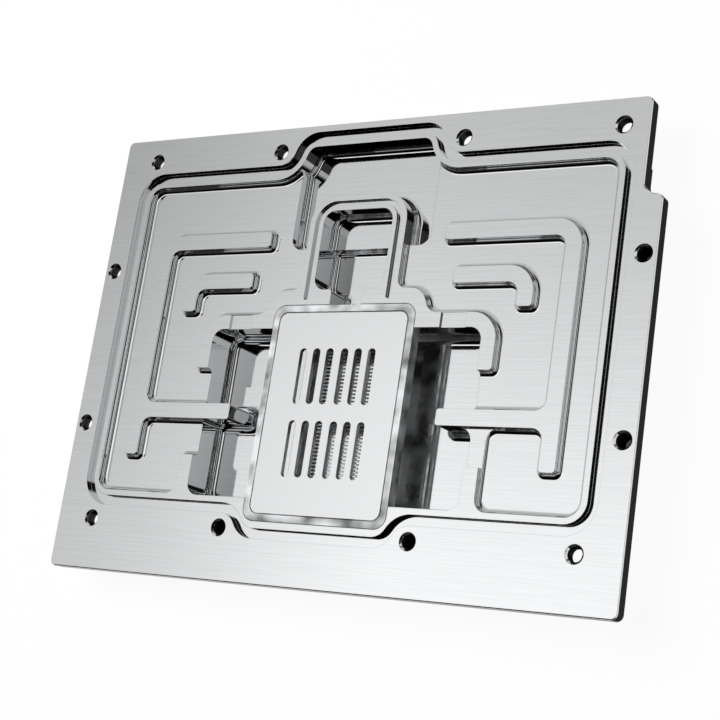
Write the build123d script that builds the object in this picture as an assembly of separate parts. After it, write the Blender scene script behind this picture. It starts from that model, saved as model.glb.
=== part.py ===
"""Liquid cooling cold plate, opened: the milled base that a cover bolts onto, with its
seal groove, channel ribs, deep core pocket and skived fins, and the clear carrier and
slotted flow plate that lie over the fins.

Sizes are millimetres. X runs to the right and Y up as the channel side is seen from
above, and +Z points out of the channel side. The origin is in the middle of the outline,
on the face that touches the chip, so the part lies on that face at z = 0.
"""
import os
from math import acos, tan

from build123d import *

# Heights: the whole base, its flange, and the skin left under every pocket
base_h = 11.2
flange_t = 3.2
skin_t = 1.8

# Core pocket, which holds the fins under the flow plate
pocket_w = 73.2
pocket_h = 40.7
pocket_d = 9.2
pocket_corner_r = 3.0
pocket_floor_r = 1.65

# Channels round the pocket, and the spaces between the ribs from the pocket outwards
channel_d = 1.9
channel_floor_r = 1.2
pocket_gap_x = 3.8
middle_gap_x = 6.3
outer_gap_x = 6.7
pocket_gap_y = 6.75
middle_gap_y = 6.55
outer_gap_y = 13.4
wet_corner_r = 3.7

# Bulges of the wet area: over the outlet, and round the foot of the carrier
outlet_bulge_h = 8.0
carrier_bulge_h = 5.5
bend_gap = 6.2
bend_convex_r = 2.6
bend_concave_r = 8.4

# Rim of the flange outside the wet area, and the step in its right edge
rim_side = 10.5
rim_top = 5.55
rim_bottom = 14.15
corner_r = 1.5
edge_break = 0.2
step_w = 4.6
step_h = 22.35
step_inner_r = 2.8

# Seal groove round the wet area
land_w = 1.4
groove_w = 2.4
groove_d = 1.6

# Ribs: the outer ones, with a divider that runs in to the pocket, and the middle ones.
# The left divider keeps a longer nose low down in the pocket.
rib_w = 3.8
rib_inner_r = 2.6
rib_end_r = 0.8
outer_rib_gap = 5.0
outer_rib_foot_gap = 9.1
middle_rib_gap = 8.5
middle_rib_leg = 9.45
divider_reach = 8.6
divider_end_r = 0.7
divider_root_r = 2.6
nose_l = 2.2
nose_end_r = 1.5
nose_d = 5.1

# Rib round the pocket's top, feet at its bottom corners, and the low sill on the right
pocket_rib_w = 3.5
pocket_rib_leg = 9.7
foot_h = 9.6
sill_d = 1.35
bleed_inset = 7.6
bleed_w = 6.4
bleed_d = 0.5

# Shoulders of the land between the inlet and the core pocket
shoulder_h = 5.9
shoulder_w = 24.8
shoulder_root_r = 2.3
shoulder_convex_r = 4.6
shoulder_concave_r = 3.5

# Inlet pocket with its step, its neck to the core pocket and the gasket slot round it
inlet_w = 19.0
inlet_h = 19.6
inlet_d = 7.8
inlet_corner_r = 3.0
inlet_step = 8.0
neck_w = 8.6
slot_gap = 1.15
slot_w = 1.2
slot_d = 0.8
slot_end_gap = 1.4

# Outlet pocket: the bulge, and a leg down each side of the inlet
outlet_inset = 0.1
outlet_h = 25.6
outlet_d = 5.4
outlet_corner_r = 3.0
outlet_floor_r = 1.25

# Skived fins on the floor of the core pocket
fin_pitch = 0.87
fin_t = 0.45
fin_h = 2.5
fin_l = 16.4
fin_field_h = 33.0

# Tapped holes for the cover, M4: tapping bore, thread mouth and depth of the blind ones
tap_r = 1.65
mouth_r = 2.1
side_blind_d = 3.2
foot_blind_d = 5.4
bolt_gap = 7.3
bolt_corner_inset = 0.2
bolt_side_gap = 7.5
bolt_side_pitch = 39.9
bolt_side_mid_y = 0.25

# Back: walls of the bosses, and what thickens the flange behind the blind holes
boss_wall = 2.4
boss_r = 3.0
rail_inset = 0.6
rail_t = 0.6
rail_w = 8.5
rail_over = 6.7
hole_boss_r = 4.5
hole_boss_t = 3.0

# Clear carrier, its seat in the base, and the flow plate with its slots
carrier_w = 38.4
carrier_t = 3.0
carrier_lap_top = 5.6
carrier_lap_bottom = 5.1
carrier_r = 3.0
carrier_rim = 1.55
carrier_ledge = 3.4
seat_gap = 0.15
plate_t = 1.2
plate_gap = 0.3
plate_r = 2.0
jet_w = 2.0
jet_l = 13.3
jet_pitch = 3.65
jets_per_group = 3
jet_groups_x = 11.3
jet_groups_y = 17.2

# Across, from the middle outwards: each place follows from the one inside it
pocket_x = pocket_w / 2
pocket_in_x = pocket_x - pocket_corner_r
pocket_rib_x = pocket_x + pocket_rib_w
middle_rib_x = pocket_rib_x + pocket_gap_x
outer_rib_x = middle_rib_x + rib_w + middle_gap_x
wet_x = outer_rib_x + rib_w + outer_gap_x
flange_x = wet_x + rim_side
inlet_x = inlet_w / 2
inlet_land_x = inlet_x + rib_w
carrier_x = carrier_w / 2
outlet_x = carrier_x - outlet_inset
divider_x = pocket_x - divider_reach
nose_x = divider_x - nose_l

# Upwards, from the bottom edge of the flange to the top one
ribs_h = pocket_rib_w + pocket_gap_y + rib_w + middle_gap_y + rib_w + outer_gap_y
wet_h = pocket_h + ribs_h
flange_y = (rim_bottom + carrier_bulge_h + wet_h + outlet_bulge_h + rim_top) / 2
bulge_bottom_y = rim_bottom - flange_y
pocket_bottom_y = bulge_bottom_y + carrier_bulge_h
pocket_top_y = pocket_bottom_y + pocket_h
pocket_rib_y = pocket_top_y + pocket_rib_w
middle_rib_y = pocket_rib_y + pocket_gap_y
outer_rib_y = middle_rib_y + rib_w + middle_gap_y
wet_top_y = outer_rib_y + rib_w + outer_gap_y
outlet_top_y = wet_top_y + outlet_bulge_h
shoulder_y = pocket_rib_y + shoulder_h
inlet_top_y = shoulder_y + inlet_h
divider_y = (pocket_bottom_y + pocket_top_y) / 2
divider_top_y = divider_y + rib_w / 2
divider_bottom_y = divider_y - rib_w / 2
carrier_top_y = pocket_top_y + carrier_lap_top
carrier_bottom_y = pocket_bottom_y - carrier_lap_bottom
carrier_y = (carrier_top_y + carrier_bottom_y) / 2
carrier_h = carrier_top_y - carrier_bottom_y
step_y = flange_y - step_h

# Heights of the two levels that most pieces start from, and the reach of the cutters
front_z = base_h
flange_z = front_z - flange_t
over = 1.0
far = 4 * flange_x
standing = (Align.CENTER, Align.CENTER, Align.MIN)


def outline(rows):
    """Closed outline through (x, y, radius) rows, each corner rounded by its radius."""
    points = [(x, y) for x, y, r in rows]
    return make_face(FilletPolyline(*points, radius=[r for x, y, r in rows], close=True))


def symmetric_outline(rows):
    """Outline symmetric about x = 0 from the rows of its right half, top to bottom."""
    return outline(rows + [(-x, y, r) for x, y, r in reversed(rows)])


def both_sides(face):
    """The face with its mirror image on the other side of x = 0."""
    return face + mirror(face, about=Plane.YZ)


def box_face(x0, x1, y0, y1, r=0.0):
    """Rectangle between two X and two Y limits, with round corners where r is given."""
    w, h = x1 - x0, y1 - y0
    shape = RectangleRounded(w, h, r) if r else Rectangle(w, h)
    return Pos((x0 + x1) / 2, (y0 + y1) / 2) * shape


def s_bend(end_x, drop, convex_r, concave_r):
    """Corner places of an S of two arcs that drops by drop and ends level at end_x."""
    turn = 0.99 * acos(1 - drop / (convex_r + concave_r))
    concave_x = end_x - concave_r * tan(turn / 2)
    return concave_x - drop / tan(turn), concave_x


def cut_tool(face, depth, floor_r=0.0):
    """Void that a cutter leaves below the channel side, with a radius along its floor."""
    tool = extrude(Pos(0, 0, front_z - depth) * face, depth)
    if floor_r:
        tool = fillet(tool.faces().sort_by(Axis.Z)[0].edges(), floor_r)
    return tool + extrude(Pos(0, 0, front_z) * face, over)


def flange_face():
    """Outline of the flange, with the step in its right edge."""
    x, y, step_x = flange_x, flange_y, flange_x - step_w
    return outline([
        (-x, -y, corner_r), (x, -y, corner_r), (x, step_y, corner_r),
        (step_x, step_y, step_inner_r), (step_x, y, corner_r), (-x, y, corner_r),
    ])


def wet_face():
    """Outline of the wet area: an S of two arcs leads into each bulge."""
    end_x = carrier_x + bend_gap
    top = s_bend(end_x, outlet_bulge_h, bend_convex_r, bend_concave_r)
    bottom = s_bend(end_x, carrier_bulge_h, bend_convex_r, bend_concave_r)
    return symmetric_outline([
        (top[0], outlet_top_y, bend_convex_r), (top[1], wet_top_y, bend_concave_r),
        (wet_x, wet_top_y, wet_corner_r), (wet_x, pocket_bottom_y, wet_corner_r),
        (bottom[1], pocket_bottom_y, bend_concave_r), (bottom[0], bulge_bottom_y, bend_convex_r),
    ])


def outer_rib_face():
    """Right outer rib: bar, long leg, and the divider that runs in to the core pocket."""
    start_x = outlet_x + outer_rib_gap
    x0, x1 = outer_rib_x, outer_rib_x + rib_w
    y0, y1 = outer_rib_y, outer_rib_y + rib_w
    end_y = pocket_bottom_y + outer_rib_foot_gap
    return outline([
        (start_x, y0, rib_end_r), (start_x, y1, rib_end_r), (x1, y1, rib_inner_r + rib_w),
        (x1, end_y, rib_end_r), (x0, end_y, rib_end_r), (x0, divider_bottom_y, divider_root_r),
        (divider_x, divider_bottom_y, divider_end_r), (divider_x, divider_top_y, divider_end_r),
        (x0, divider_top_y, divider_root_r), (x0, y0, rib_inner_r),
    ])


def middle_rib_face():
    """Right middle rib: a short bar turned down into a short leg."""
    start_x = outlet_x + middle_rib_gap
    x0, x1 = middle_rib_x, middle_rib_x + rib_w
    y0, y1 = middle_rib_y, middle_rib_y + rib_w
    end_y = y1 - middle_rib_leg
    return outline([
        (start_x, y0, rib_end_r), (start_x, y1, rib_end_r), (x1, y1, rib_inner_r + rib_w),
        (x1, end_y, rib_end_r), (x0, end_y, rib_end_r), (x0, y0, rib_inner_r),
    ])


def centre_land_face():
    """Land round the inlet pocket, its shoulders, and the rib round the core pocket's top."""
    bend = s_bend(shoulder_w, shoulder_h, shoulder_convex_r, shoulder_concave_r)
    end_y = pocket_top_y - pocket_rib_leg
    return symmetric_outline([
        (inlet_land_x, inlet_top_y + rib_w, inlet_corner_r + rib_w),
        (inlet_land_x, shoulder_y, shoulder_root_r),
        (bend[0], shoulder_y, shoulder_convex_r), (bend[1], pocket_rib_y, shoulder_concave_r),
        (pocket_rib_x, pocket_rib_y, pocket_corner_r + pocket_rib_w),
        (pocket_rib_x, end_y, rib_end_r), (pocket_in_x, end_y, rib_end_r),
        (pocket_in_x, pocket_top_y - pocket_corner_r, rib_end_r),
    ])


def channel_face(wet):
    """Plan of the shallow channels: the wet area less the ribs and lands left standing."""
    foot_y = pocket_bottom_y + foot_h
    face = wet - box_face(-far, far, -far, pocket_bottom_y) - centre_land_face()
    face -= both_sides(outer_rib_face()) + both_sides(middle_rib_face())
    face -= both_sides(box_face(pocket_in_x, pocket_rib_x, pocket_bottom_y - over, foot_y))
    face -= box_face(pocket_in_x, pocket_rib_x, foot_y - over, divider_bottom_y + over)
    rounded = [
        (pocket_rib_x, pocket_bottom_y, pocket_corner_r),
        (-pocket_rib_x, pocket_bottom_y, pocket_corner_r),
        (pocket_rib_x, divider_bottom_y, divider_root_r),
        (-pocket_rib_x, foot_y, rib_end_r),
    ]
    for x, y, r in rounded:
        face = fillet(face.vertices().sort_by_distance(Vector(x, y))[0], r)
    return face


def pocket_side(bar_x, end_r, root_r):
    """Corners of one side of the core pocket, top to bottom, round its divider."""
    return [
        (pocket_x, pocket_top_y, pocket_corner_r),
        (pocket_x, divider_top_y, rib_end_r), (bar_x, divider_top_y, end_r),
        (bar_x, divider_bottom_y, end_r), (pocket_x, divider_bottom_y, root_r),
        (pocket_x, pocket_bottom_y, pocket_corner_r),
    ]


def pocket_face(left_bar_x, left_end_r):
    """Plan of the core pocket, with the left divider reaching in to left_bar_x."""
    right = pocket_side(divider_x, divider_end_r, pocket_corner_r)
    left = pocket_side(left_bar_x, left_end_r, rib_end_r)
    return outline(right + [(-x, y, r) for x, y, r in reversed(left)])


def inlet_face(top_y, top_r):
    """Plan of the inlet pocket up to top_y, with its neck reaching into the core pocket."""
    neck_x = neck_w / 2
    return symmetric_outline([
        (inlet_x, top_y, top_r), (inlet_x, shoulder_y, inlet_corner_r),
        (neck_x, shoulder_y, rib_end_r), (neck_x, pocket_top_y - pocket_corner_r, rib_end_r),
    ])


def gasket_slot_face():
    """Narrow slot round three sides of the inlet pocket, with round ends."""
    low_y = carrier_top_y + slot_end_gap + slot_w / 2
    bands = []
    for gap in (slot_gap + slot_w, slot_gap):
        x, y = inlet_x + gap, inlet_top_y + gap
        bands.append(box_face(-x, x, low_y - far, y, inlet_corner_r + gap))
    band = bands[0] - bands[1] - box_face(-far, far, low_y - 2 * far, low_y)
    end = Pos(inlet_x + slot_gap + slot_w / 2, low_y) * Circle(slot_w / 2)
    return band + both_sides(end)


def outlet_face(wet):
    """Plan of the outlet pocket: the bulge, and a leg down each side of the inlet."""
    end_y = outlet_top_y - outlet_h
    block = box_face(-outlet_x, outlet_x, end_y, outlet_top_y + outlet_corner_r, outlet_corner_r)
    return (block & wet) - centre_land_face()


def back_boss(x, y0, y1, depth):
    """Boss on the back under a pocket, from the flange down to depth and a skin below it."""
    low = front_z - depth - skin_t
    return extrude(Pos(0, 0, low) * box_face(-x, x, y0, y1, boss_r), flange_z - low)


def contact_boss():
    """Boss under the core pocket, whose face touches the chip at z = 0."""
    x = pocket_x + boss_wall
    face = box_face(-x, x, pocket_bottom_y - boss_wall, pocket_top_y + boss_wall, boss_r)
    boss = extrude(face, flange_z)
    return chamfer(boss.faces().sort_by(Axis.Z)[0].edges(), edge_break)


def hole_backing():
    """Low rail behind the blind holes on the right, and a round boss behind each one below."""
    x, y = flange_x - rail_inset, step_y + rail_over
    rail = box_face(x - rail_w, x, -y, y, corner_r) & flange_face()
    backing = [extrude(Pos(0, 0, flange_z - rail_t) * rail, rail_t)]
    boss = Cylinder(hole_boss_r, hole_boss_t, align=standing)
    for side_x in (-carrier_x - bend_gap, carrier_x + bend_gap):
        backing.append(Pos(side_x, pocket_bottom_y - bolt_gap, flange_z - hole_boss_t) * boss)
    return backing


def tapped_hole(x, y, depth):
    """Tapping bore with a chamfered mouth the size of the thread."""
    lead = mouth_r - tap_r
    bore = Pos(x, y, front_z - depth) * Cylinder(tap_r, depth + over, align=standing)
    mouth = Pos(x, y, front_z - lead) * Cone(tap_r, mouth_r, lead, align=standing)
    relief = Pos(x, y, front_z) * Cylinder(mouth_r, over, align=standing)
    return bore + mouth + relief


def tapped_holes():
    """The twelve holes: four of them blind, two on the right and two low in the middle."""
    through = flange_t + rail_t + over
    top_y, bottom_y = wet_top_y + bolt_gap, pocket_bottom_y - bolt_gap
    corner_x, middle_x = wet_x - bolt_corner_inset, carrier_x + bend_gap
    holes = []
    for side in (-1, 1):
        side_depth = side_blind_d if side > 0 else through
        holes.append(tapped_hole(side * corner_x, top_y, through))
        holes.append(tapped_hole(side * middle_x, top_y, through))
        holes.append(tapped_hole(side * corner_x, bottom_y, through))
        holes.append(tapped_hole(side * middle_x, bottom_y, foot_blind_d))
        for half in (-bolt_side_pitch / 2, bolt_side_pitch / 2):
            holes.append(tapped_hole(side * (wet_x + bolt_side_gap), bolt_side_mid_y + half, side_depth))
    return holes


def fins():
    """Thin upright fins along X, skived from the pocket floor and in one piece with it."""
    sunk = skin_t / 4
    fin = Box(fin_l, fin_t, fin_h + sunk, align=standing)
    count = int(fin_field_h / fin_pitch) + 1
    first_y = carrier_y - (count - 1) * fin_pitch / 2
    low = front_z - pocket_d - sunk
    return [Pos(0, first_y + n * fin_pitch, low) * fin for n in range(count)]


def bleed_notches():
    """Shallow notch across the rib above the core pocket, on each side of the inlet."""
    x0, x1 = pocket_x - bleed_inset - bleed_w / 2, pocket_x - bleed_inset + bleed_w / 2
    return cut_tool(both_sides(box_face(x0, x1, pocket_top_y - over, pocket_rib_y + over)), bleed_d)


def sill_cut():
    """Cut that leaves a low sill between the core pocket and the lower right channel."""
    x1 = pocket_rib_x + divider_root_r + over
    return cut_tool(box_face(pocket_in_x, x1, pocket_bottom_y + foot_h, divider_bottom_y), sill_d)


def carrier_seat():
    """Recess in the lands above and below the core pocket that the carrier drops into."""
    x = carrier_x + seat_gap
    face = box_face(-x, x, carrier_bottom_y - seat_gap, carrier_top_y + seat_gap, carrier_r + seat_gap)
    return cut_tool(face, carrier_t)


def base_plate():
    """The milled and plated base, one piece with its ribs, lands, fins and bosses."""
    wet = wet_face()
    flange = extrude(Pos(0, 0, flange_z) * flange_face(), flange_t)
    flange = chamfer(flange.faces().sort_by(Axis.Z)[-1].edges(), edge_break)
    body = flange + [contact_boss()] + hole_backing()
    body += back_boss(inlet_land_x, pocket_top_y, inlet_top_y + rib_w, inlet_d)
    low_y = outlet_top_y - outlet_h - boss_wall
    body += back_boss(outlet_x + boss_wall, low_y, outlet_top_y + boss_wall, outlet_d)

    groove = offset(wet, land_w + groove_w) - offset(wet, land_w)
    body -= cut_tool(groove, groove_d)
    body -= cut_tool(channel_face(wet), channel_d, channel_floor_r)
    body -= cut_tool(outlet_face(wet), outlet_d, outlet_floor_r)
    body -= cut_tool(inlet_face(inlet_top_y, inlet_corner_r), outlet_d, outlet_floor_r)
    body -= cut_tool(inlet_face(inlet_top_y - inlet_step, rib_end_r), inlet_d, outlet_floor_r)
    body -= cut_tool(pocket_face(nose_x, nose_end_r), pocket_d, pocket_floor_r)
    body -= cut_tool(pocket_face(divider_x, divider_end_r), nose_d)
    body -= [bleed_notches(), sill_cut(), carrier_seat(), cut_tool(gasket_slot_face(), slot_d)]
    body -= tapped_holes()
    return body + fins()


def jet_plate_frame():
    """Clear carrier: a rim round the flow plate and a ledge below it that holds it up."""
    hole_w, hole_h = carrier_w - 2 * carrier_rim, carrier_h - 2 * carrier_rim
    ledge = 2 * (carrier_ledge + plate_gap)
    window = RectangleRounded(hole_w - ledge, hole_h - ledge, plate_r)
    body = extrude(RectangleRounded(carrier_w, carrier_h, carrier_r) - window, carrier_t)
    hole = RectangleRounded(hole_w, hole_h, plate_r + plate_gap)
    body -= Pos(0, 0, carrier_t - plate_t) * extrude(hole, plate_t)
    return Pos(0, carrier_y, front_z - carrier_t) * body


def jet_plate():
    """Flow plate: four groups of upright slots that feed the coolant down between the fins."""
    inset = 2 * (carrier_rim + plate_gap)
    plate = RectangleRounded(carrier_w - inset, carrier_h - inset, plate_r)
    slot = Rot(0, 0, 90) * SlotOverall(jet_l, jet_w)
    for group_x in (-jet_groups_x / 2, jet_groups_x / 2):
        for group_y in (-jet_groups_y / 2, jet_groups_y / 2):
            for n in range(jets_per_group):
                x = group_x + (n - (jets_per_group - 1) / 2) * jet_pitch
                plate -= Pos(x, group_y) * slot
    return Pos(0, carrier_y, front_z - plate_t) * extrude(plate, plate_t)


if __name__ == "__main__":
    os.makedirs("parts", exist_ok=True)
    export_step(base_plate(), "parts/base_plate.step")
    export_step(jet_plate_frame(), "parts/jet_plate_frame.step")
    export_step(jet_plate(), "parts/jet_plate.step")
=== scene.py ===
# %% [markdown]
# # A liquid cooling cold plate, dressed and lit
#
# The solids come from the CAD model: a milled base, a clear carrier and a slotted flow
# plate. This file gives them their finishes, adds the threads inside the screw holes, and
# sets up the studio and the camera. The scene is in metres, so a size in millimetres is
# multiplied by MM.

# %% Load the CAD frame
import math

import bpy
from mathutils import Matrix, Vector


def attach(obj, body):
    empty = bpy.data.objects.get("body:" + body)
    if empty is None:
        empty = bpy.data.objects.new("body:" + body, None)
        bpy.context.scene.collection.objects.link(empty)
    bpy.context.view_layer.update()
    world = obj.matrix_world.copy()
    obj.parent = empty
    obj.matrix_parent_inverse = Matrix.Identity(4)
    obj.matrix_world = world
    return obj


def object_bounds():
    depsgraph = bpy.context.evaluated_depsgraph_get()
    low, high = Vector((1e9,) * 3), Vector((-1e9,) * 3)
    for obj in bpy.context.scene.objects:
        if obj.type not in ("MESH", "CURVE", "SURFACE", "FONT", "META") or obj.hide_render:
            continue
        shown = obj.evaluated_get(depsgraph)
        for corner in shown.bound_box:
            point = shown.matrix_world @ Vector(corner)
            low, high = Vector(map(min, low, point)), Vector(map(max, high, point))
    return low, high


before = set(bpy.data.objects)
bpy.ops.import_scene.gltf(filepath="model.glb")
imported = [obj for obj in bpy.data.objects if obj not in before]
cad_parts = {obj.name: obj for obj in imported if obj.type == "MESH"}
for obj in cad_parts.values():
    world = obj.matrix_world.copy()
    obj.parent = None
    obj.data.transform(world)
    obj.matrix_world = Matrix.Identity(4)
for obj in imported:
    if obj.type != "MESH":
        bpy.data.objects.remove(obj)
MM = 0.001
cad_low, cad_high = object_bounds()
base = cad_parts["base_plate"]
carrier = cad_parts["jet_plate_frame"]
flow_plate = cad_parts["jet_plate"]
print("CAD size in mm:", [round(v / MM, 2) for v in cad_high - cad_low])

# %% [markdown]
# Colours are picked from a screen as sRGB hex values, but shaders work in linear light.
# One function turns the first into the second, so every colour below can be read as it
# would look in a paint program. Two more start an empty material and add a node with its
# settings and links, which keeps the shader recipes short. The last one puts a finished
# material on a piece, in place of the plain one that it came with.

# %% Colour and material helpers
def colour(hex_value):
    """Linear RGBA from an sRGB hex value such as #C8CACC."""
    channels = [int(hex_value[i:i + 2], 16) / 255 for i in (1, 3, 5)]
    linear = [c / 12.92 if c <= 0.04045 else ((c + 0.055) / 1.055) ** 2.4 for c in channels]
    return linear + [1.0]


def new_material(name):
    """Empty node material with its output node."""
    material = bpy.data.materials.new(name)
    material.use_nodes = True
    material.node_tree.nodes.clear()
    return material, material.node_tree.nodes.new("ShaderNodeOutputMaterial")


def node(tree, kind, settings=None, **inputs):
    """Adds a node with its settings and links.

    An input goes by its name, such as Base_Color, or by its number, such as _0. Its value
    is a number, a colour, or another node's output socket.
    """
    made = tree.nodes.new("ShaderNode" + kind)
    for name, value in (settings or {}).items():
        setattr(made, name, value)
    for name, value in inputs.items():
        key = int(name[1:]) if name[1:].isdigit() else name.replace("_", " ")
        socket = made.inputs[key]
        if isinstance(value, bpy.types.NodeSocket):
            tree.links.new(value, socket)
        else:
            socket.default_value = value
    return made


def dress(piece, material):
    """Puts one material on a piece, in place of any that it had."""
    piece.data.materials.clear()
    piece.data.materials.append(material)
    print(piece.name, "wears", material.name)


print("mid grey #808080 is", round(colour("#808080")[0], 3), "in linear light")

# %% [markdown]
# Three of the surfaces carry fine parallel lines: the lapped base, the rolled sheet and,
# much softer, the moulded carrier. All of them are one noise, stretched along X by the
# scale of its coordinates. The raw noise stays near its middle, so its values are spread
# until they fill the range from 0 to 1. Object coordinates keep the lines on the piece.

# %% Lines of a lapped, rolled or moulded face
NOISE_LOW = 0.33
NOISE_HIGH = 0.67


def drawn_lines(tree, along_mm, across_mm, detail):
    """Noise drawn out along X, from 0 to 1, with the size of its marks in mm."""
    scale = (1 / (along_mm * MM), 1 / (across_mm * MM), 1 / (across_mm * MM))
    place = node(tree, "TexCoord").outputs["Object"]
    mapping = node(tree, "Mapping", Vector=place, Scale=scale)
    noise = node(tree, "TexNoise", Vector=mapping.outputs["Vector"], Scale=1.0, Detail=detail)
    spread = {"From_Min": NOISE_LOW, "From_Max": NOISE_HIGH}
    return node(tree, "MapRange", Value=noise.outputs["Fac"], **spread).outputs["Result"]


# Settings that the recipes below use more than once
COLOUR_MIX = {"data_type": "RGBA"}
ADD = {"operation": "ADD"}
TIMES = {"operation": "MULTIPLY"}
ABOVE = {"operation": "GREATER_THAN"}
LARGER = {"operation": "MAXIMUM"}
print("noise from", NOISE_LOW, "to", NOISE_HIGH, "is spread to 0 to 1")

# %% [markdown]
# The base is milled from copper and plated with bright nickel. The eye reads three
# things: a neutral mirror that is a little soft, very fine lines where the face was
# lapped before plating, and edges that catch the light because they were broken with a
# stone. The lines' real spacing is near 0.05 mm, too fine for the render, so they are
# drawn at 0.3 mm. They change the tone a little here, and the roughness further below.

# %% Lapping lines of the nickel
LINE_LENGTH = 14.0
LINE_SPACING = 0.3
nickel, nickel_output = new_material("bright_nickel_plating")
tree = nickel.node_tree
lines = drawn_lines(tree, along_mm=LINE_LENGTH, across_mm=LINE_SPACING, detail=3.0)
tone = node(tree, "Mix", COLOUR_MIX, _0=lines, _6=colour("#E3E4E5"), _7=colour("#EAEBEC"))
print("lapping lines are drawn", LINE_SPACING, "mm apart")

# %% [markdown]
# The outer sides and the screw holes are plated like the rest, but a mirror only shows its
# room, and there it would show the white floor and vanish against it. The real part mirrors
# an unlit room there and goes nearly black. So the same plating gets painted shade there, a
# darker tone in place of that dark reflection, chosen by plain facts of the surface itself:
# it lies outside the seal groove, and it either stands upright or is the floor of a blind
# hole at the side.

# %% Where the plating gets painted shade
GROOVE_MIDDLE_Y = 3.3 * MM
GROOVE_REACH_X = 69.5 * MM
GROOVE_REACH_Y = 43.9 * MM
BELOW_FLANGE_FACE = 10.0 * MM
UPRIGHT_TILT = 0.6
place = node(tree, "TexCoord").outputs["Object"]
from_middle = node(
    tree, "VectorMath", {"operation": "SUBTRACT"}, _0=place, _1=(0, GROOVE_MIDDLE_Y, 0),
).outputs[0]
reach = node(tree, "VectorMath", {"operation": "ABSOLUTE"}, _0=from_middle).outputs[0]
reach = node(tree, "SeparateXYZ", Vector=reach).outputs
normal = node(tree, "NewGeometry").outputs["Normal"]
facing = node(tree, "SeparateXYZ", Vector=normal).outputs["Z"]

beside = node(tree, "Math", ABOVE, _0=reach["X"], _1=GROOVE_REACH_X).outputs[0]
beyond = node(tree, "Math", ABOVE, _0=reach["Y"], _1=GROOVE_REACH_Y).outputs[0]
outside = node(tree, "Math", LARGER, _0=beside, _1=beyond).outputs[0]
upright = node(
    tree, "Math", {"operation": "COMPARE"}, _0=facing, _1=0.0, _2=UPRIGHT_TILT,
).outputs[0]
upward = node(tree, "Math", ABOVE, _0=facing, _1=0.0).outputs[0]
sunk = node(
    tree, "Math", {"operation": "LESS_THAN"}, _0=reach["Z"], _1=BELOW_FLANGE_FACE,
).outputs[0]
sunk_beside = node(tree, "Math", TIMES, _0=beside, _1=sunk).outputs[0]
hole_floor = node(tree, "Math", TIMES, _0=upward, _1=sunk_beside).outputs[0]
either = node(tree, "Math", LARGER, _0=upright, _1=hole_floor).outputs[0]
painted_shade_mask = node(tree, "Math", TIMES, _0=outside, _1=either).outputs[0]
print("darker beyond", GROOVE_REACH_X / MM, "mm in X and", GROOVE_REACH_Y / MM, "mm in Y")

# %% [markdown]
# Now the recipe is put together. For a metal, the Principled shader has one colour for
# what faces the eye, Base Color, and one for what is seen at a flat angle, Specular Tint,
# so the painted shade darkens both. The Bevel node rounds the normals at the edges without
# adding a single face, and the Bump node lays the lapping lines over them, hardly deep
# enough to feel.

# %% Bright nickel on the base
BROKEN_EDGE = 0.12 * MM
LINE_DEPTH = 0.01 * MM
# Painted shade: on the outer sides and blind hole floors the face tone turns dark grey and the
# flat-angle tint mid grey, in place of a dark reflection.
base_tone = node(
    tree, "Mix", COLOUR_MIX, _0=painted_shade_mask, _6=tone.outputs[2], _7=colour("#484848"),
)
rim_tone = node(
    tree, "Mix", COLOUR_MIX, _0=painted_shade_mask, _6=colour("#FFFFFF"), _7=colour("#9C9C9C"),
)
edges = node(tree, "Bevel", {"samples": 6}, Radius=BROKEN_EDGE)
bump = node(
    tree, "Bump", Strength=0.008, Distance=LINE_DEPTH, Height=lines,
    Normal=edges.outputs["Normal"],
)
blur = node(tree, "MapRange", Value=lines, To_Min=0.045, To_Max=0.075)
skin = node(
    tree, "BsdfPrincipled", Base_Color=base_tone.outputs[2], Metallic=1.0,
    Roughness=blur.outputs["Result"], Specular_Tint=rim_tone.outputs[2],
    Normal=bump.outputs["Normal"],
)
tree.links.new(skin.outputs["BSDF"], nickel_output.inputs["Surface"])
dress(base, nickel)

# %% [markdown]
# The carrier is a clear moulded polycarbonate part. It is so thin that it takes no colour:
# what the eye sees is its rim, a soft milky line where light leaves the edge, and the
# metal below, slightly blurred. In the photo it is milky in places, so how much light it
# lets through follows a soft noise with spots of a few millimetres. A second noise, longer
# and finer, stands for the lines that the flow of hot plastic leaves.

# %% Clear polycarbonate on the carrier
FLOW_DEPTH = 0.05 * MM
clear, clear_output = new_material("clear_polycarbonate")
tree = clear.node_tree
flow_lines = drawn_lines(tree, along_mm=12.0, across_mm=3.0, detail=2.0)
bump = node(tree, "Bump", Strength=0.1, Distance=FLOW_DEPTH, Height=flow_lines)
blur = node(tree, "MapRange", Value=flow_lines, To_Min=0.08, To_Max=0.18)
cloudy = drawn_lines(tree, along_mm=6.0, across_mm=4.5, detail=1.0)
clearness = node(tree, "MapRange", Value=cloudy, To_Min=0.85, To_Max=0.15)
skin = node(
    tree, "BsdfPrincipled", Base_Color=colour("#F6F8F9"), IOR=1.58,
    Transmission_Weight=clearness.outputs["Result"],
    Roughness=blur.outputs["Result"], Normal=bump.outputs["Normal"],
)
tree.links.new(skin.outputs["BSDF"], clear_output.inputs["Surface"])
dress(carrier, clear)

# %% [markdown]
# The flow plate is stainless sheet, rolled and then etched or laser cut. Rolling leaves a
# satin face with a faint grain along the sheet, softer than the plated base, so it reads
# as the lightest and most even piece of the part.

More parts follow.
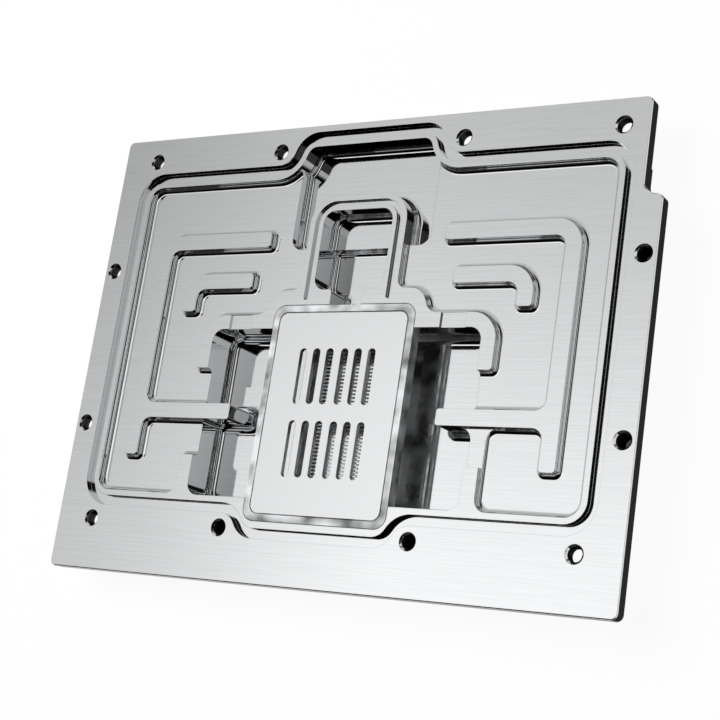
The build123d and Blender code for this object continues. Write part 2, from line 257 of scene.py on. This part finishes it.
# %% Satin stainless on the flow plate
GRAIN_DEPTH = 0.01 * MM
steel, steel_output = new_material("rolled_stainless_sheet")
tree = steel.node_tree
grain = drawn_lines(tree, along_mm=10.0, across_mm=0.25, detail=4.0)
tone = node(tree, "Mix", COLOUR_MIX, _0=grain, _6=colour("#F8F9FA"), _7=colour("#FBFCFD"))
bump = node(tree, "Bump", Strength=0.002, Distance=GRAIN_DEPTH, Height=grain)
blur = node(tree, "MapRange", Value=grain, To_Min=0.24, To_Max=0.26)
skin = node(
    tree, "BsdfPrincipled", Base_Color=tone.outputs[2], Metallic=1.0,
    Roughness=blur.outputs["Result"], Normal=bump.outputs["Normal"],
)
tree.links.new(skin.outputs["BSDF"], steel_output.inputs["Surface"])
dress(flow_plate, steel)

# %% [markdown]
# Down in the screw holes hardly any light falls, so the threads get a nickel of their own
# with painted shade: a darker tone, dark at a flat angle too, and a rougher face.

# %% Nickel with painted shade for the threads
dark, dark_output = new_material("thread_nickel_with_painted_shade")
tree = dark.node_tree
grain = drawn_lines(tree, along_mm=1.0, across_mm=0.3, detail=2.0)
# Painted shade: the thread tone runs from near black to dark grey, for the shade down in the
# holes.
tone = node(tree, "Mix", COLOUR_MIX, _0=grain, _6=colour("#2E3033"), _7=colour("#4A4C50"))
blur = node(tree, "MapRange", Value=grain, To_Min=0.25, To_Max=0.40)
skin = node(
    tree, "BsdfPrincipled", Base_Color=tone.outputs[2], Metallic=1.0,
    Roughness=blur.outputs["Result"], Specular_Tint=colour("#3A3C40"),
)
tree.links.new(skin.outputs["BSDF"], dark_output.inputs["Surface"])
print("thread finish:", dark.name)

# %% [markdown]
# The screw holes are tapped M4, a pitch of 0.7 mm. A thread in a bore is one triangle
# carried round a helix, so a triangle is drawn at the wall, with its foot a little inside
# the metal, and a Screw modifier turns it. The solids hold the bore at its tapping size
# and a scene can't cut into them, so the ridges stand 0.2 mm in from that wall. The ends
# are closed and the normals turned outwards, so each thread is a clean solid.

# %% One thread, from a triangle
BORE = 1.65 * MM
PITCH = 0.7 * MM
RIDGE_HALF = 0.3 * MM
RIDGE_HEIGHT = 0.2 * MM
RIDGE_FOOT = 0.04 * MM
STEPS_PER_TURN = 20
SAME_POINT = 0.001 * MM


def add_thread(name, x, y, low, turns):
    """Helical ridge on the wall of the bore at (x, y) mm, climbing from height low mm."""
    bpy.ops.object.select_all(action="DESELECT")
    bpy.ops.mesh.primitive_circle_add(vertices=3, radius=RIDGE_HALF, location=(0, 0, 0))
    ridge = bpy.context.object
    ridge.name = name
    corners = [
        (BORE + RIDGE_FOOT, 0, -RIDGE_HALF),
        (BORE - RIDGE_HEIGHT, 0, 0),
        (BORE + RIDGE_FOOT, 0, RIDGE_HALF),
    ]
    for vertex, corner in zip(ridge.data.vertices, corners):
        vertex.co = corner
    helix = ridge.modifiers.new("helix", "SCREW")
    helix.angle = 2 * math.pi
    helix.screw_offset = PITCH
    helix.iterations = turns
    helix.steps = STEPS_PER_TURN
    helix.render_steps = STEPS_PER_TURN
    bpy.ops.object.modifier_apply(modifier=helix.name)
    bpy.ops.object.mode_set(mode="EDIT")
    bpy.ops.mesh.select_all(action="SELECT")
    bpy.ops.mesh.remove_doubles(threshold=SAME_POINT)
    bpy.ops.mesh.fill_holes(sides=3)
    bpy.ops.mesh.normals_make_consistent(inside=False)
    bpy.ops.object.mode_set(mode="OBJECT")
    bpy.ops.transform.translate(value=(x * MM, y * MM, low * MM))
    bpy.ops.object.transform_apply(location=True, rotation=False, scale=False)
    ridge.data.materials.append(dark)
    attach(ridge, "root")
    return ridge


print("a thread turns once every", round(PITCH / MM, 2), "mm")

# %% [markdown]
# The cover is held by twelve screws, and their holes are the same on both sides of the
# middle. Ten go into the flange, where three turns of thread fit. The two at the foot,
# beside the lower bulge, are deeper and take six turns. Places and heights are in
# millimetres, as on a drawing.

# %% Threads in the twelve screw holes
FLANGE_HOLES = [(64.3, 49.6), (25.4, 49.6), (64.3, -43.5), (72.0, 20.2), (72.0, -19.7)]
FLANGE_LOW, FLANGE_TURNS = 8.4, 3
FOOT_X, FOOT_Y = 25.4, -43.5
FOOT_LOW, FOOT_TURNS = 6.3, 6
threads = []
for word, side in (("left", -1), ("right", 1)):
    for number, (x, y) in enumerate(FLANGE_HOLES):
        name = f"thread_{word}_{number}"
        threads.append(add_thread(name, side * x, y, FLANGE_LOW, FLANGE_TURNS))
    name = f"thread_foot_{word}"
    threads.append(add_thread(name, side * FOOT_X, FOOT_Y, FOOT_LOW, FOOT_TURNS))
print(len(threads), "threads,", sum(len(thread.data.polygons) for thread in threads), "faces")

# %% [markdown]
# A product photo like this one is taken on a white floor that melts into a white
# background. The floor glows for the rays that are seen, straight from the camera, in a
# mirror or through the clear carrier. For all other rays it is plain pale paint, so it
# sends no extra light up. A little paint stays in what is seen, for a light shadow.

# %% Floor
FLOOR_SIZE = 6.0
FLOOR_GAP = 0.02 * MM
GLOW_SHARE = 0.93
bpy.ops.mesh.primitive_plane_add(size=FLOOR_SIZE, location=(0, 0, -FLOOR_GAP))
floor = bpy.context.object
floor.name = "floor"
white, white_output = new_material("white_studio_floor")
tree = white.node_tree
path = node(tree, "LightPath").outputs
seen = node(tree, "Math", ADD, _0=path["Is Camera Ray"], _1=path["Is Glossy Ray"])
seen = node(tree, "Math", ADD, _0=seen.outputs[0], _1=path["Is Transmission Ray"])
glow_part = node(
    tree, "Math", {"operation": "MULTIPLY", "use_clamp": True},
    _0=seen.outputs[0], _1=GLOW_SHARE,
)
paint = node(tree, "BsdfDiffuse", Color=colour("#F4F4F4"))
glow = node(tree, "Emission", Color=colour("#FFFFFF"), Strength=1.0)
mix = node(
    tree, "MixShader", _0=glow_part.outputs[0], _1=paint.outputs[0], _2=glow.outputs[0],
)
tree.links.new(mix.outputs[0], white_output.inputs["Surface"])
floor.data.materials.append(white)
print("floor is", floor.dimensions.x, "m wide")

# %% [markdown]
# A mirror shows its room, so the room is what gives this metal its look. Flat faces mirror
# one large soft light up and to the left, and go pale. Walls mirror the dark part of the
# room and go black. The room is drawn by direction alone, on the world: each light is a
# product of soft fades, and each fade says along which axis of the direction it runs,
# where it starts and ends, and the strength at both ends. Where lights overlap, the
# stronger one counts.

# %% Walls, ceiling and lights of the room
room = {
    "pale walls": [
        ("Z", 0.35, 0.60, 0.62, 0.012), ("Y", -0.30, 0.00, 0.06, 1.0),
        ("X", 0.10, 0.50, 1.0, 0.25),
    ],
    "strip light": [
        ("X", 0.50, 0.60, 0.0, 0.85), ("Z", 0.24, 0.30, 0.0, 1.0), ("Z", 0.42, 0.48, 1.0, 0.0),
    ],
    "soft light": [
        ("X", 0.00, 0.22, 1.0, 0.0), ("Y", -0.09, 0.03, 0.0, 1.0), ("Z", 0.45, 0.60, 0.0, 1.0),
        ("Y", 0.04, 0.42, 1.05, 0.56), ("X", -0.70, -0.50, 0.66, 1.12),
    ],
    "dim ceiling": [
        ("X", 0.30, 0.40, 0.16, 0.0), ("Y", -0.09, 0.03, 0.0, 1.0), ("Z", 0.88, 0.93, 0.0, 1.0),
    ],
    "grey card": [
        ("X", 0.48, 0.56, 0.0, 0.56), ("Z", 0.76, 0.84, 1.0, 0.0), ("Z", 0.66, 0.71, 0.0, 1.0),
    ],
}
world = bpy.data.worlds.new("studio")
bpy.context.scene.world = world
world.use_nodes = True
tree = world.node_tree
tree.nodes.clear()
direction = node(tree, "TexCoord").outputs["Generated"]
part = node(tree, "SeparateXYZ", Vector=direction).outputs
light = 0.0
for fades in room.values():
    strength = 1.0
    for axis, start, end, at_start, at_end in fades:
        fade = node(
            tree, "MapRange", {"interpolation_type": "SMOOTHSTEP"}, Value=part[axis],
            From_Min=start, From_Max=end, To_Min=at_start, To_Max=at_end,
        ).outputs["Result"]
        strength = node(tree, "Math", TIMES, _0=strength, _1=fade).outputs[0]
    light = node(tree, "Math", LARGER, _0=light, _1=strength).outputs[0]
sky = node(tree, "Background", Color=light, Strength=1.0)
node(tree, "OutputWorld", Surface=sky.outputs[0])
print("the room has", ", ".join(room))

# %% [markdown]
# One large lamp lights what isn't metal and throws the soft shadow on the floor. It is
# hidden from reflections and from what is seen through the carrier, because the room
# above already holds the light that the metal shows.

# %% Lamp
LAMP_SIZE = 0.7
LAMP_WATTS = 9.0
bpy.ops.object.light_add(type="AREA", location=(-0.45, 0.25, 0.75))
lamp = bpy.context.object
lamp.name = "soft_lamp"
lamp.data.shape = "RECTANGLE"
lamp.data.size = LAMP_SIZE
lamp.data.size_y = LAMP_SIZE
lamp.data.energy = LAMP_WATTS
lamp.rotation_mode = "QUATERNION"
lamp.rotation_quaternion = (-lamp.location).to_track_quat("-Z", "Y")
lamp.visible_glossy = False
lamp.visible_transmission = False
print("lamp at", [round(v, 2) for v in lamp.location])

# %% [markdown]
# The camera stands to the right of the plate and a little below it, as far away as about
# two and a half plate widths. The plate lies on its back here, so the camera looks down
# on it, turned so that the plate fills the picture at the same slant as in the photo.
# The numbers come from fitting a camera to the plate's outline and its screw holes. A
# camera's own axes point right, up and back, and together they are its turn.

# %% Camera
LENS_MM = 78.18
SENSOR_MM = 36.0
camera_data = bpy.data.cameras.new("camera")
camera = bpy.data.objects.new("camera", camera_data)
bpy.context.scene.collection.objects.link(camera)
camera_data.lens = LENS_MM
camera_data.sensor_width = SENSOR_MM
right = Vector((0.8462, 0.1463, -0.5123))
back = Vector((0.5328, -0.2255, 0.8157)).normalized()
up = back.cross(right).normalized()
right = up.cross(back)
top_middle = Vector((0, 0, cad_high.z))
stand = Vector((195.27, -83.04, 289.08)) * MM + top_middle
turn = Matrix((right, up, back)).transposed().to_4x4()
camera.matrix_world = Matrix.Translation(stand) @ turn
camera_data.clip_start = 0.02
camera_data.clip_end = 20.0
bpy.context.scene.camera = camera
bpy.context.scene.view_settings.view_transform = "Standard"
print("camera is", round((stand - top_middle).length, 3), "m from the plate")
